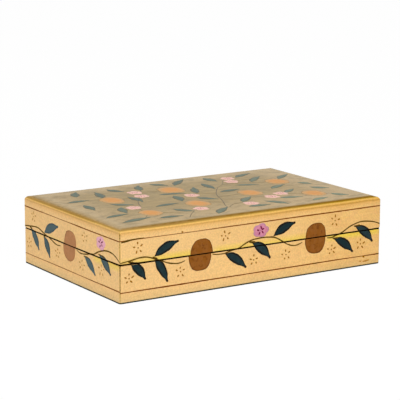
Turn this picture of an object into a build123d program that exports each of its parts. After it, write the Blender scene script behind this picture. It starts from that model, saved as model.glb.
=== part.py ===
"""A flat papier mache box with a lift-off lid.

Both halves are built up in layers, from the inside out: pressed paper boards glued
edge to edge, a painted paper-and-gesso skin wrapped round them, and a thin lining
inside. Four strips stand inside the base and rise past its rim as a lip, which the
lid drops over.

Origin at the centre of the underside, +X along the long side, -Y is the front.
"""

import os

from build123d import *

# Outside of the box, in millimetres
box_width = 165.0  # X
box_depth = 104.5  # Y
base_height = 19.8  # from the table to the rim
lid_height = 17.8  # from the rim to the top of the lid
edge_radius = 2.5  # round-over along the top of the lid
corner_radius = 1.0  # upright corners

# Layers of each half
skin_thickness = 0.6
wall_thickness = 3.2
floor_thickness = 3.0
top_thickness = 3.4
lining_thickness = 0.5
sheet_thickness = 0.6  # dark paper pasted under the base
sheet_inset = 0.2
sheet_corner_radius = 1.2

# Seam between lid and base, and the lip inside it
seam_reveal = 0.3  # each skin stops this far short of the rim
seam_easing = 0.2
lip_thickness = 2.2
lip_rise = 5.0
lip_easing = 0.6
lid_clearance = 0.4  # the lid's walls are rubbed down by this much, to slide on the lip

# Worked out from the sizes above
box_height = base_height + lid_height
rim_z = base_height
lip_top_z = rim_z + lip_rise
core_width = box_width - 2 * skin_thickness
core_depth = box_depth - 2 * skin_thickness
base_hollow = (core_width - 2 * wall_thickness, core_depth - 2 * wall_thickness)
tray = (base_hollow[0] - 2 * lip_thickness, base_hollow[1] - 2 * lip_thickness)
lid_wall_thickness = wall_thickness - lid_clearance
lid_hollow = (core_width - 2 * lid_wall_thickness, core_depth - 2 * lid_wall_thickness)
floor_z = sheet_thickness + floor_thickness
core_top_z = box_height - skin_thickness
ceiling_z = core_top_z - top_thickness
least_edge = 0.2  # flat left on a board's edge under its round-over
board_edge_radius = min(edge_radius - skin_thickness, top_thickness - least_edge)

os.makedirs("parts", exist_ok=True)


def keep(builder, label):
    """Names a finished piece and writes it as its own STEP file."""
    builder.part.label = label
    export_step(builder.part, f"parts/{label}.step")


def upright_board(place, size, bottom, top):
    """Board on edge, size (X, Y) round place (X, Y), from bottom to top in Z."""
    with BuildPart() as board:
        with BuildSketch(Plane.XY.offset(bottom)):
            with Locations(place):
                Rectangle(*size)
        extrude(amount=top - bottom)
    return board


def walls(half, thickness, hollow_depth, bottom, top):
    """Four wall boards: front and back over the full width, the ends between them."""
    for side, name in ((-1, "front"), (1, "back")):
        place = (0, side * (core_depth - thickness) / 2)
        board = upright_board(place, (core_width, thickness), bottom, top)
        keep(board, f"{half}_{name}_wall")
    for side, name in ((-1, "left"), (1, "right")):
        place = (side * (core_width - thickness) / 2, 0)
        board = upright_board(place, (thickness, hollow_depth), bottom, top)
        keep(board, f"{half}_{name}_wall")


def lip_strip(place, size, along):
    """Strip stood on the floor against a wall, its two top edges along one axis eased."""
    strip = upright_board(place, size, floor_z, lip_top_z)
    with strip:
        top_face = strip.faces().sort_by(Axis.Z)[-1]
        fillet(top_face.edges().filter_by(along), radius=lip_easing)
    return strip


# Base: sheet, floor and walls

with BuildPart() as underside_sheet:
    with BuildSketch():
        RectangleRounded(
            box_width - 2 * sheet_inset,
            box_depth - 2 * sheet_inset,
            sheet_corner_radius,
        )
    extrude(amount=sheet_thickness)
keep(underside_sheet, "underside_sheet")

with BuildPart() as base_floor_board:
    with BuildSketch(Plane.XY.offset(sheet_thickness)):
        Rectangle(core_width, core_depth)
    extrude(amount=floor_thickness)
keep(base_floor_board, "base_floor_board")

walls("base", wall_thickness, base_hollow[1], floor_z, rim_z)

# Base: lip strips, the long ones over the full hollow and the short ones between them

for side, name in ((-1, "front"), (1, "back")):
    place = (0, side * (base_hollow[1] - lip_thickness) / 2)
    keep(lip_strip(place, (base_hollow[0], lip_thickness), Axis.X), f"lip_{name}")
for side, name in ((-1, "left"), (1, "right")):
    place = (side * (base_hollow[0] - lip_thickness) / 2, 0)
    keep(lip_strip(place, (lip_thickness, tray[1]), Axis.Y), f"lip_{name}")

with BuildPart() as base_floor_lining:
    with BuildSketch(Plane.XY.offset(floor_z)):
        Rectangle(*tray)
    extrude(amount=lining_thickness)
keep(base_floor_lining, "base_floor_lining")

# Base: painted skin, a sleeve round the boards that stands on the sheet

with BuildPart() as base_painted_skin:
    with BuildSketch(Plane.XY.offset(sheet_thickness)):
        RectangleRounded(box_width, box_depth, corner_radius)
    extrude(amount=rim_z - seam_reveal - sheet_thickness)
    fillet(base_painted_skin.faces().sort_by(Axis.Z)[-1].edges(), radius=seam_easing)
    with BuildSketch(Plane.XY.offset(sheet_thickness)):
        Rectangle(core_width, core_depth)
    extrude(amount=base_height, mode=Mode.SUBTRACT)
keep(base_painted_skin, "base_painted_skin")

# Lid: walls, top board and lining

walls("lid", lid_wall_thickness, lid_hollow[1], rim_z, ceiling_z)

with BuildPart() as lid_top_board:
    with BuildSketch(Plane.XY.offset(ceiling_z)):
        Rectangle(core_width, core_depth)
    extrude(amount=top_thickness)
    fillet(lid_top_board.faces().sort_by(Axis.Z)[-1].edges(), radius=board_edge_radius)
keep(lid_top_board, "lid_top_board")

with BuildPart() as lid_lining:
    with BuildSketch(Plane.XY.offset(ceiling_z - lining_thickness)):
        Rectangle(*lid_hollow)
    extrude(amount=lining_thickness)
keep(lid_lining, "lid_lining")

# Lid: painted skin, a shell over the sides and top with the boards' shape taken out

with BuildPart() as lid_core:
    with BuildSketch(Plane.XY.offset(rim_z)):
        Rectangle(core_width, core_depth)
    extrude(amount=core_top_z - rim_z)
    fillet(lid_core.faces().sort_by(Axis.Z)[-1].edges(), radius=board_edge_radius)

with BuildPart() as lid_painted_skin:
    with BuildSketch(Plane.XY.offset(rim_z + seam_reveal)):
        Rectangle(box_width, box_depth)
    extrude(amount=lid_height - seam_reveal)
    fillet(lid_painted_skin.edges().filter_by(Axis.Z), radius=corner_radius)
    fillet(lid_painted_skin.faces().sort_by(Axis.Z)[-1].edges(), radius=edge_radius)
    fillet(lid_painted_skin.faces().sort_by(Axis.Z)[0].edges(), radius=seam_easing)
    add(lid_core.part, mode=Mode.SUBTRACT)
keep(lid_painted_skin, "lid_painted_skin")
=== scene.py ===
import math

import bmesh
import bpy
from mathutils import Matrix, Vector, noise


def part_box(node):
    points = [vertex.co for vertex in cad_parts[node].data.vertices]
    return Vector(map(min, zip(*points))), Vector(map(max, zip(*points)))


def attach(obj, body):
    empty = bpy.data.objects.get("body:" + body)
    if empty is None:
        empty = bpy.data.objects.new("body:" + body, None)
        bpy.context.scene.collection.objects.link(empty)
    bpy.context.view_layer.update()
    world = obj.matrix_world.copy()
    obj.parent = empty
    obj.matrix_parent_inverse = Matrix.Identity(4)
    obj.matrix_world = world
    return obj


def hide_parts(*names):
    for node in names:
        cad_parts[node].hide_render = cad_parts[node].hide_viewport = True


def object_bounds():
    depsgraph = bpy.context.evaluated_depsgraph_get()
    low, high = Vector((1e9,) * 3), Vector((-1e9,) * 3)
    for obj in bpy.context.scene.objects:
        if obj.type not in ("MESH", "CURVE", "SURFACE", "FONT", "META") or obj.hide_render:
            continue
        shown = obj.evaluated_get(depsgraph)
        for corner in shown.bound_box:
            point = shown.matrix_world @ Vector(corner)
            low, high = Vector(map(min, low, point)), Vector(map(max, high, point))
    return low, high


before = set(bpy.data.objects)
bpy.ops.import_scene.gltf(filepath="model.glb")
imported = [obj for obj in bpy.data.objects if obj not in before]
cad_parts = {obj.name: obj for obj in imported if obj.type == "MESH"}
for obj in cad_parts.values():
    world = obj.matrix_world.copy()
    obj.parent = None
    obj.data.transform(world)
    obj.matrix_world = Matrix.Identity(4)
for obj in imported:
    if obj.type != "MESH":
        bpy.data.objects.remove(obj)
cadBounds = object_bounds()
scene = bpy.context.scene
scene.view_settings.view_transform = "Standard"
mm = 0.001               # the pattern sheets below are drawn in millimetres


def addNode(tree, kind, inputs=None, **settings):
    # works for shader and geometry trees; an input may be a value, a socket or a whole node
    node = tree.nodes.new(kind)
    for name, value in settings.items():
        setattr(node, name, value)
    for name, value in (inputs or {}).items():
        socket = node.inputs[name]
        if isinstance(value, bpy.types.Node):
            value = value.outputs[0]
        if isinstance(value, bpy.types.NodeSocket):
            tree.links.new(value, socket)
        else:
            socket.default_value = value
    return node


def hexColor(text):
    # sRGB hex to the linear colour that nodes work in
    channels = [int(text[i:i + 2], 16) / 255 for i in (1, 3, 5)]
    linear = [c / 12.92 if c <= 0.04045 else ((c + 0.055) / 1.055) ** 2.4 for c in channels]
    return (*linear, 1.0)


white = hexColor("#FFFFFF")


def newObject(name, data):
    piece = bpy.data.objects.new(name, data)
    scene.collection.objects.link(piece)
    return piece


def paintTree(name):
    # a new material and its empty tree
    material = bpy.data.materials.new(name)
    material.use_nodes = True
    tree = material.node_tree
    tree.nodes.clear()
    return material, tree


def seenFrom(azimuth, elevation):
    # the way from the middle of the table to a camera or lamp; an azimuth of 0 is straight in front
    turn = math.radians(azimuth)
    tip = math.radians(elevation)
    return Vector((math.sin(turn) * math.cos(tip), -math.cos(turn) * math.cos(tip), math.sin(tip)))


# camera, set to the view that the box is shown in
camera = {
    "azimuth": -32.73,      # degrees, from the front towards the left end
    "elevation": 11.58,
    "roll": 0.23,
    "distance": 907.0,      # mm from the aim point
    "aimAside": -1.37,      # mm, aim point from the middle of the box
    "aimUp": 16.13,
    "lens": 148.97,         # mm on the sensor below
    "sensor": 36.0,
}


def makeCamera(settings):
    turn = math.radians(settings["azimuth"])
    roll = math.radians(settings["roll"])
    back = seenFrom(settings["azimuth"], settings["elevation"])
    level = Vector((math.cos(turn), math.sin(turn), 0))
    upright = back.cross(level)
    right = level * math.cos(roll) + upright * math.sin(roll)
    up = upright * math.cos(roll) - level * math.sin(roll)
    middle = Vector((0, 0, (cadBounds[0].z + cadBounds[1].z) / 2))
    aim = middle + (right * settings["aimAside"] + up * settings["aimUp"]) * mm
    data = bpy.data.cameras.new("camera")
    data.lens = settings["lens"]
    data.sensor_width = settings["sensor"]
    data.clip_start = 0.01
    holder = newObject("camera", data)
    turned = Matrix((right, up, back)).transposed().to_4x4()
    holder.matrix_world = Matrix.Translation(aim + back * settings["distance"] * mm) @ turned
    scene.camera = holder


makeCamera(camera)
print("camera set")

# studio: floor, world and soft boxes
studio = {
    "floorSize": 7.0,           # m
    "floorColor": "#F4F4F2",
    "floorGlow": 0.965,         # share of plain white seen on the floor; the rest keeps the shadow
    "floorWhite": 1.012,        # how bright that plain white is
    "ambient": 0.36,
    "lamps": {                  # azimuth, elevation in degrees, distance and size in m, watts, colour
        "keyBox": (-14, 48, 1.15, 0.75, 6.6, "#FFFDF8"),
        "windowBox": (-96, 24, 1.30, 0.80, 2.2, "#F1F6FF"),
        "topBox": (20, 80, 1.20, 0.80, 2.0, "#FFFFFF"),
    },
}


def seenRay(tree):
    # 1 for what the camera, a reflection or a pane sees, 0 for light that the studio gives
    path = addNode(tree, "ShaderNodeLightPath")
    direct = addNode(tree, "ShaderNodeMath", {0: path.outputs["Is Camera Ray"],
                                              1: path.outputs["Is Glossy Ray"]}, operation="MAXIMUM")
    return addNode(tree, "ShaderNodeMath", {0: direct, 1: path.outputs["Is Transmission Ray"]},
                   operation="MAXIMUM")


def makeStudio(settings):
    world = bpy.data.worlds.new("studio")
    scene.world = world
    world.use_nodes = True
    tree = world.node_tree
    tree.nodes.clear()
    level = addNode(tree, "ShaderNodeMapRange", {"Value": seenRay(tree), "To Min": settings["ambient"],
                                                 "To Max": 1.0})
    sky = addNode(tree, "ShaderNodeBackground", {"Color": white, "Strength": level})
    addNode(tree, "ShaderNodeOutputWorld", {"Surface": sky})

    paper, tree = paintTree("backdropPaper")      # matt white paper sweep
    sheet = addNode(tree, "ShaderNodeBsdfDiffuse", {"Color": hexColor(settings["floorColor"])})
    glow = addNode(tree, "ShaderNodeEmission", {"Color": white, "Strength": settings["floorWhite"]})
    share = addNode(tree, "ShaderNodeMath", {0: seenRay(tree), 1: settings["floorGlow"]},
                    operation="MULTIPLY")
    both = addNode(tree, "ShaderNodeMixShader", {0: share, 1: sheet, 2: glow})
    addNode(tree, "ShaderNodeOutputMaterial", {"Surface": both})

    half = settings["floorSize"] / 2
    corners = [(-half, -half, 0), (half, -half, 0), (half, half, 0), (-half, half, 0)]
    mesh = bpy.data.meshes.new("floor")
    mesh.from_pydata(corners, [], [range(4)])
    mesh.materials.append(paper)
    floor = newObject("floor", mesh)

    for name, (azimuth, elevation, distance, size, watts, color) in settings["lamps"].items():
        away = seenFrom(azimuth, elevation)
        data = bpy.data.lights.new(name, "AREA")
        data.shape = "SQUARE"
        data.size = size
        data.energy = watts
        data.color = hexColor(color)[:3]
        lamp = newObject(name, data)
        facing = away.to_track_quat("Z", "Y").to_matrix().to_4x4()
        lamp.matrix_world = Matrix.Translation(away * distance) @ facing


makeStudio(studio)
print("studio set")

# the box's own sizes, from its parts in model.glb
lidLow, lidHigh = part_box("lid_painted_skin")
boxWidth = (lidHigh.x - lidLow.x) / mm
boxDepth = (lidHigh.y - lidLow.y) / mm
boxTop = lidHigh.z / mm
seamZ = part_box("base_front_wall")[1].z / mm
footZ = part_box("base_painted_skin")[0].z / mm
skinThickness = (lidHigh.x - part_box("lid_top_board")[1].x) / mm

form = {
    "edgeRadius": 2.5,        # mm, round-over along the top of the lid
    "cornerRadius": 1.0,      # upright corners
    "seamGap": 0.37,          # each skin stops this far short of the seam, and further at two corners:
    "seamGape": [(0.0, 0.30, 14.0), (165.0, 0.10, 22.0)],     # place, how much, length it dies away over
    "gapeBlend": 1.5,         # paint this near the seam follows it there
    "easing": 0.12,           # rubbed edge of each rim
    "overhang": 0.03,         # paint that crosses the seam hangs this far past each rim
    "paintRoom": 0.08,        # the ground lies this far in, so that thick paint stays inside the box
    "swell": (0.07, 31.0),    # slow unevenness of the hand-laid ground: depth and length in mm
    "ripple": (0.02, 8.5),
    "rippleShift": (40, 0, 0),     # keeps the ripple apart from the swell
    "baseSetBack": 0.16,      # the base is a hair smaller than the lid
    "lidFlare": 0.05,         # the lid widens towards its rim
}

# the way along each side and the way out from it, for the front, the right end, the back and the left end
sideAlong = [Vector((1, 0)), Vector((0, 1)), Vector((-1, 0)), Vector((0, -1))]
sideOutward = [Vector((0, -1)), Vector((1, 0)), Vector((0, 1)), Vector((-1, 0))]
sideLength = [boxWidth, boxDepth, boxWidth, boxDepth]
sideStart = [sum(sideLength[:i]) for i in range(4)]
girth = sum(sideLength)
straightTop = boxTop - form["edgeRadius"]     # where the sides end and the round-over starts


def sideAt(s):
    # the side that a place round the box is on, and how far along it that is
    side = max(i for i in range(4) if s >= sideStart[i])
    return side, s - sideStart[side]


def bandSpot(s, inset=0.0, corner=form["cornerRadius"]):
    # a place s mm round the box from its front left corner, and the way out from it, both flat
    side, u = sideAt(s % girth)
    along, outward = sideAlong[side], sideOutward[side]
    half = sideLength[side] / 2
    flat = half - form["cornerRadius"]
    t = u - half
    turn = max(abs(t) - flat, 0) / form["cornerRadius"] * math.pi / 4
    way = outward * math.cos(turn) + along * math.copysign(math.sin(turn), t)
    reach = max(-1, min(1, t / flat)) * (half - inset - corner)
    out = sideLength[(side + 1) % 4] / 2 - inset - corner
    return along * reach + outward * out + way * corner, way


def groundDip(spot, half):
    # how far the ground lies inside the plain face of the box at this spot, in mm
    depth, length = form["swell"]
    fine, step = form["ripple"]
    dip = form["paintRoom"]
    dip += depth * (0.5 + 0.5 * noise.noise(spot / length))
    dip += fine * (0.5 + 0.5 * noise.noise(spot / step + Vector(form["rippleShift"])))
    if half == "base":
        return dip + form["baseSetBack"]
    return dip + form["lidFlare"] * (spot.z - seamZ) / (boxTop - seamZ)


def seamEdge(half, s):
    # height of a skin's rim at a place round the box: the two halves gape a little at two corners
    gap = form["seamGap"]
    for place, gape, length in form["seamGape"]:
        away = abs((s - place + girth / 2) % girth - girth / 2)
        gap += gape * math.exp(-away / length)
    return seamZ + gap if half == "lid" else seamZ - gap


# finishes
def placeMm(tree, size):
    # object coordinates divided by the pattern's size in mm along each axis
    where = addNode(tree, "ShaderNodeTexCoord")
    return addNode(tree, "ShaderNodeMapping", {"Vector": where.outputs["Object"],
                                               "Scale": [1 / (mm * length) for length in size]})


lacquer = {"Coat Roughness": 0.16, "Coat IOR": 1.5}     # clear varnish over everything
lacquerWeight = 0.36

ground = {
    "gold": "#F2C170",          # warm gold of the sides
    "paleGold": "#F9CD84",
    "blush": "#F0B876",         # warmer patches where the bronze is thin
    "shadedGold": "#E2B168",
    "paintedLightGold": "#FCD190",     # painted light: paler gold, most at the left end and at the front's near end
    "edgeToneAndShadeBands": [              # across the rounded edge: mm from the foot of the round-over, colour; the dark olive bands are partly painted shade
        (0.0, "#ECB766"), (0.45, "#DFAB59"), (0.85, "#C48F3C"), (1.25, "#D19D46"), (1.75, "#E9B95E"),
        (2.15, "#DDAF4A"), (2.6, "#BE922C"), (3.1, "#A27918"), (3.6, "#946B0E"), (4.4, "#936B1A"),
        (5.4, "#987532"), (6.4, "#9E7F44"), (7.4, "#AC8E58"),
    ],
    "edgeReach": 8.0,           # mm, over which the bands above are laid
    "margin": "#BEA26E",        # rubbed line round the picture on top
    "marginIn": "#BD9F69",      # and the paler ground inside it
    "shadedTopGold": "#B19250",       # painted shade: the darker gold of the top
    "shadedTopDull": "#927A3C",
    "wash": "#F5D82E",          # yellow glaze beside the seam; also a painted highlight along the upright corners
    # dark brown of corner dirt and flecks, and painted shade along the front's rounded edge
    "grimeAndShade": "#643A02",
    "paleFoot": "#CCBB88",          # paler, greyer colour along the foot
    "paleFootTo": (5.0, 1.2),       # mm up from the table, where it ends and where it is full
    "paleFootStrength": 0.32,              # how strong it is there
    "stain": "#7E6A34",         # soft stains on the top
    "metal": (0.30, 0.06),      # under the varnish and where it is rubbed off
    "wobble": 0.7,              # mm, how far the bands and the margin stray
    "patterns": {               # size in mm along each axis, detail and roughness of the noise
        "sideMarks": ((16, 16, 1.1), 4.0, 0.65),
        "topMarks": ((34, 1.5, 20), 4.0, 0.65),
        "clouds": ((15, 15, 10), 3.0, 0.55),
        "specks": ((0.9, 0.9, 0.9), 2.0, 0.5),
        "thinness": ((4.5, 4.5, 2.2), 4.0, 0.65),
        "stains": ((7, 5, 7), 3.0, 0.6),
    },
    "shares": {                 # pattern, the two values it is read between, and what they turn into
        "marked": ("sideMarks", 0.34, 0.66, 0.0, 1.0),
        "shaded": ("clouds", 0.42, 0.68, 0.0, 0.55),
        "blushed": ("thinness", 0.46, 0.70, 0.0, 0.7),
        "ragged": ("sideMarks", 0.35, 0.65, 0.75, 1.0),
        # streaks between the top's two golds, both of them painted shade
        "topStreaked": ("topMarks", 0.32, 0.68, 0.0, 1.0),
        "stained": ("stains", 0.46, 0.72, 0.0, 0.6),
        "mottled": ("specks", 0.36, 0.64, 0.92, 1.06),     # fine mottling, about a millimetre across
        "chipped": ("specks", 0.40, 0.62, 0.4, 1.0),
        "flecked": ("specks", 0.76, 0.82, 0.0, 0.5),
        "satin": ("clouds", 0.0, 1.0, 0.42, 0.58),
    },
    "layers": [                 # which colour is laid over which, and by which share
        # the top's darker golds are painted shade; the sides' paler and darker gold is painted light and
        # shade
        ("shadedTopDull", "topStreaked", "shadedTopGold"), ("shadedTopDull", "veiled", "marginIn"),
        ("shadedTopDull", "onMargin", "margin"), ("shadedTopDull", "stained", "stain"),
        ("gold", "marked", "paleGold"), ("gold", "shaded", "shadedGold"), ("gold", "blushed", "blush"),
        ("gold", "onEdge", "edgeToneAndShadeBands"), ("gold", "faded", "paintedLightGold"),
        ("gold", "paintedShaded", "shadedGold"), ("gold", "washedAndHighlit", "wash"), ("gold", "onTop", "shadedTopDull"),
        ("gold", "footPaled", "paleFoot"),
    ],
    "zones": {                  # mm up over the rounded edge: from none of it to all of it
        "onEdge": (-2.0, 0.3),
        "onTop": (6.8, 9.0),
        "onMargin": (12.5, 10.5),
        "rubbedFrom": (1.8, 2.9),
        "rubbedTo": (5.6, 9.0),
    },
}


def gildedGround(settings):
    # bronze-powder paint on gesso under varnish: satin, faintly brushed, varnish worn thin along the edge
    material, tree = paintTree("bronzePowderPaint")
    read = {}
    for name in ("edgeRise", "wash", "arris", "veil", "paintedLightShade"):
        read[name] = addNode(tree, "ShaderNodeAttribute", attribute_name=name).outputs["Fac"]
    noises = {}
    for name, (size, detail, rough) in settings["patterns"].items():
        noises[name] = addNode(tree, "ShaderNodeTexNoise", {"Vector": placeMm(tree, size), "Scale": 1.0,
                                                            "Detail": detail, "Roughness": rough})
    wobble = addNode(tree, "ShaderNodeMath", {0: noises["clouds"], 1: settings["wobble"],
                                              2: -settings["wobble"] / 2}, operation="MULTIPLY_ADD")
    edge = addNode(tree, "ShaderNodeMath", {0: read["edgeRise"], 1: wobble}, operation="ADD")
    shares = {"veiled": read["veil"]}
    for name, (pattern, start, end, least, most) in settings["shares"].items():
        shares[name] = addNode(tree, "ShaderNodeMapRange", {"Value": noises[pattern], "From Min": start,
                                                            "From Max": end, "To Min": least,
                                                            "To Max": most})
    for name, (start, end) in settings["zones"].items():
        shares[name] = addNode(tree, "ShaderNodeMapRange", {"Value": edge, "From Min": start,
                                                            "From Max": end},
                               interpolation_type="SMOOTHSTEP")
    # painted light and painted shade: paler or darker gold, as the skin's layer gives
    for name, full in (("faded", 1.0), ("paintedShaded", -1.0)):
        shares[name] = addNode(tree, "ShaderNodeMapRange", {"Value": read["paintedLightShade"], "From Max": full})
    for name, layer, broken in (("washedAndHighlit", "wash", "ragged"), ("wornAndShaded", "arris", "chipped")):
        shares[name] = addNode(tree, "ShaderNodeMath", {0: read[layer], 1: shares[broken]},
                               operation="MULTIPLY", use_clamp=True)
    height = addNode(tree, "ShaderNodeSeparateXYZ", {0: placeMm(tree, (1, 1, 1))})
    high, low = settings["paleFootTo"]
    shares["footPaled"] = addNode(tree, "ShaderNodeMapRange", {"Value": height.outputs[2], "From Min": low,
                                                            "From Max": high, "To Min": settings["paleFootStrength"],
                                                            "To Max": 0.0})
    # rounded edge, toned in bands from the sides to the top, its darker bands partly painted shade
    along = addNode(tree, "ShaderNodeMath", {0: edge, 1: settings["edgeReach"]}, operation="DIVIDE")
    bands = addNode(tree, "ShaderNodeValToRGB", {"Fac": along})
    marks = bands.color_ramp.elements
    for number, (place, color) in enumerate(settings["edgeToneAndShadeBands"]):
        mark = marks[number] if number < 2 else marks.new(place / settings["edgeReach"])
        mark.position = place / settings["edgeReach"]
        mark.color = hexColor(color)
    colors = {name: hexColor(value) for name, value in settings.items() if isinstance(value, str)}
    colors["edgeToneAndShadeBands"] = bands
    for under, share, over in settings["layers"]:
        laid = addNode(tree, "ShaderNodeMix", {0: shares[share], 6: colors[under], 7: colors[over]},
                       data_type="RGBA")
        colors[under] = laid.outputs[2]
    color = addNode(tree, "ShaderNodeHueSaturation", {"Value": shares["mottled"],
                                                      "Color": colors["gold"]}).outputs[0]
    # corner dirt and flecks; the worn share also carries painted shade along the front's edge
    for share in ("wornAndShaded", "flecked"):
        laid = addNode(tree, "ShaderNodeMix", {0: shares[share], 6: color, 7: colors["grimeAndShade"]},
                       data_type="RGBA")
        color = laid.outputs[2]
    relief = addNode(tree, "ShaderNodeMath", {0: noises["sideMarks"], 1: noises["topMarks"]},
                     operation="ADD")
    bump = addNode(tree, "ShaderNodeBump", {"Strength": 0.10, "Distance": 0.05 * mm, "Height": relief})
    rubbed = addNode(tree, "ShaderNodeMath", {0: shares["rubbedFrom"], 1: shares["rubbedTo"]},
                     operation="SUBTRACT")
    bare = addNode(tree, "ShaderNodeMath", {0: rubbed, 1: shares["wornAndShaded"]}, operation="ADD", use_clamp=True)
    varnish = addNode(tree, "ShaderNodeMapRange", {"Value": bare, "To Min": lacquerWeight, "To Max": 0.0})
    varnished, bared = settings["metal"]
    bronze = addNode(tree, "ShaderNodeMapRange", {"Value": rubbed, "To Min": varnished, "To Max": bared})
    shader = addNode(tree, "ShaderNodeBsdfPrincipled", {
        "Base Color": color, "Metallic": bronze, "Roughness": shares["satin"],
        "Specular IOR Level": 0.0, "Normal": bump, "Coat Weight": varnish, **lacquer})
    addNode(tree, "ShaderNodeOutputMaterial", {"Surface": shader})
    return material


paints = {
    # name: edge, body and light colours, blotch size in mm, share of the light colour, where the edge
    # starts as a share of the half width, how strong the small dark pores are, and the varnish's weight
    "leafGouache": ("#080A02", "#002429", "#536C70", 2.2, 0.08, 0.50, 0.0, 0.30),
    "topLeafGouache": ("#62644A", "#4C5E4A", "#84906E", 3.0, 0.25, 0.45, 0.0, 0.36),
    "russetGouache": ("#6E3C10", "#905618", "#C88E60", 2.4, 0.10, 0.90, 0.60, 0.12),
    "orangeGouache": ("#CE9E5C", "#E0942E", "#E4A04C", 2.2, 0.5, 0.45, 0.0, 0.36),
    "pinkGouache": ("#F6C4AC", "#FCB8A8", "#FCD2C2", 1.4, 0.6, 0.60, 0.0, 0.45),
    "orchidGouache": ("#C890A6", "#D2809E", "#F6B6C8", 1.3, 0.35, 0.74, 0.0, 0.30),
    "magentaGouache": ("#66082F", "#740C3A", "#9A2868", 0.8, 0.12, 0.9, 0.0, 0.20),
    "inkLine": ("#3E2E00", "#584008", "#7A6430", 6.0, 0.15, 0.9, 0.0, 0.0),
    "ruleLine": ("#5A2806", "#783C0A", "#A86C34", 9.0, 0.4, 0.9, 0.0, 0.0),
    "starOchre": ("#925C08", "#9E6608", "#B0802A", 1.5, 0.4, 0.9, 0.0, 0.0),
    # a paler ochre: stray touches on the front, and the left end's stars, there as painted light
    "fadedOchre": ("#B47E36", "#BE883A", "#CA9A52", 1.5, 0.5, 0.9, 0.0, 0.10),
    "topInk": ("#544A34", "#5C5038", "#8C7A50", 6.0, 0.2, 0.9, 0.0, 0.36),
}
inkedEnds = {"leafGouache": "#2C1800"}     # paints whose strokes start and end in ink
softEdges = {"orangeGouache": 0.5, "pinkGouache": 0.25}     # paints that thin out, over this share
crispEdge = 0.15                           # and what it is for the others


def gouache(name):
    # opaque water paint in thin overlapping strokes: matt, darker where it pools at the edge of a stroke
    edge, body, light, blotch, share, edgeFrom, pores, varnish = paints[name]
    material, tree = paintTree(name)
    read = {}
    for layer in ("across", "tone"):
        read[layer] = addNode(tree, "ShaderNodeAttribute", attribute_name=layer).outputs["Fac"]
    patches = addNode(tree, "ShaderNodeTexNoise", {"Vector": placeMm(tree, (blotch, blotch, blotch * 1.5)),
                                                   "Scale": 1.0, "Detail": 4.0, "Roughness": 0.6})
    grain = addNode(tree, "ShaderNodeTexNoise", {"Vector": placeMm(tree, (1.7, 1.7, 1.7)), "Scale": 1.0,
                                                 "Detail": 2.0, "Roughness": 0.5})
    lighter = addNode(tree, "ShaderNodeMapRange", {"Value": patches, "From Min": 0.42, "From Max": 0.68,
                                                   "To Min": 0.0, "To Max": share})
    toned = addNode(tree, "ShaderNodeMath", {0: lighter, 1: read["tone"]}, operation="ADD", use_clamp=True)
    dotted = addNode(tree, "ShaderNodeMapRange", {"Value": grain, "From Min": 0.54, "From Max": 0.68,
                                                  "To Min": 0.0, "To Max": pores})
    side = addNode(tree, "ShaderNodeMath", {0: read["across"]}, operation="ABSOLUTE")
    uneven = addNode(tree, "ShaderNodeMath", {0: patches, 1: 0.3, 2: side}, operation="MULTIPLY_ADD")
    poolFrom = edgeFrom + crispEdge
    pooled = addNode(tree, "ShaderNodeMapRange", {"Value": uneven, "From Min": poolFrom,
                                                  "From Max": poolFrom + softEdges.get(name, crispEdge)},
                     interpolation_type="SMOOTHSTEP")
    overlaid = [(dotted, edge), (pooled, edge)]
    if name in inkedEnds:
        along = addNode(tree, "ShaderNodeAttribute", attribute_name="along")
        fromMiddle = addNode(tree, "ShaderNodeMath", {0: along.outputs["Fac"], 1: 0.5},
                             operation="SUBTRACT")
        fromMiddle = addNode(tree, "ShaderNodeMath", {0: fromMiddle}, operation="ABSOLUTE")
        inked = addNode(tree, "ShaderNodeMapRange", {"Value": fromMiddle, "From Min": 0.36,
                                                     "From Max": 0.46}, interpolation_type="SMOOTHSTEP")
        overlaid.append((inked, inkedEnds[name]))
    color = addNode(tree, "ShaderNodeMix", {0: toned, 6: hexColor(body), 7: hexColor(light)},
                    data_type="RGBA")
    # a light dab keeps its paint clean of pores and dark edges
    clean = addNode(tree, "ShaderNodeMath", {0: 1.0, 1: read["tone"]}, operation="SUBTRACT", use_clamp=True)
    for amount, over in overlaid:
        amount = addNode(tree, "ShaderNodeMath", {0: amount, 1: clean}, operation="MULTIPLY")
        color = addNode(tree, "ShaderNodeMix", {0: amount, 6: color.outputs[2], 7: hexColor(over)},
                        data_type="RGBA")
    bump = addNode(tree, "ShaderNodeBump", {"Strength": 0.15, "Distance": 0.05 * mm, "Height": patches})
    shader = addNode(tree, "ShaderNodeBsdfPrincipled", {
        "Base Color": color.outputs[2], "Roughness": 0.6, "Specular IOR Level": 0.0, "Normal": bump,
        "Coat Weight": varnish, **lacquer})
    addNode(tree, "ShaderNodeOutputMaterial", {"Surface": shader})
    return material


plainFinishes = {
    # name: dark colour, light colour, grain in mm along each axis, roughness, sheen of the surface, coat
    "blackLacquer": ("#100C06", "#201A10", (30, 30, 1.2), 0.38, 0.4, 0.3),
    "rimStain": ("#120A00", "#221400", (6, 6, 6), 0.9, 0.0, 0.0),
    "liningPaper": ("#10120F", "#1E211B", (0.5, 0.5, 0.5), 0.85, 0.3, 0.0),
    "sizedUndersidePaper": ("#12180F", "#252C1C", (0.7, 0.7, 0.7), 0.75, 0.3, 0.0),
}
plainUneven = 0.08            # how far their roughness goes either way with the grain


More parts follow.
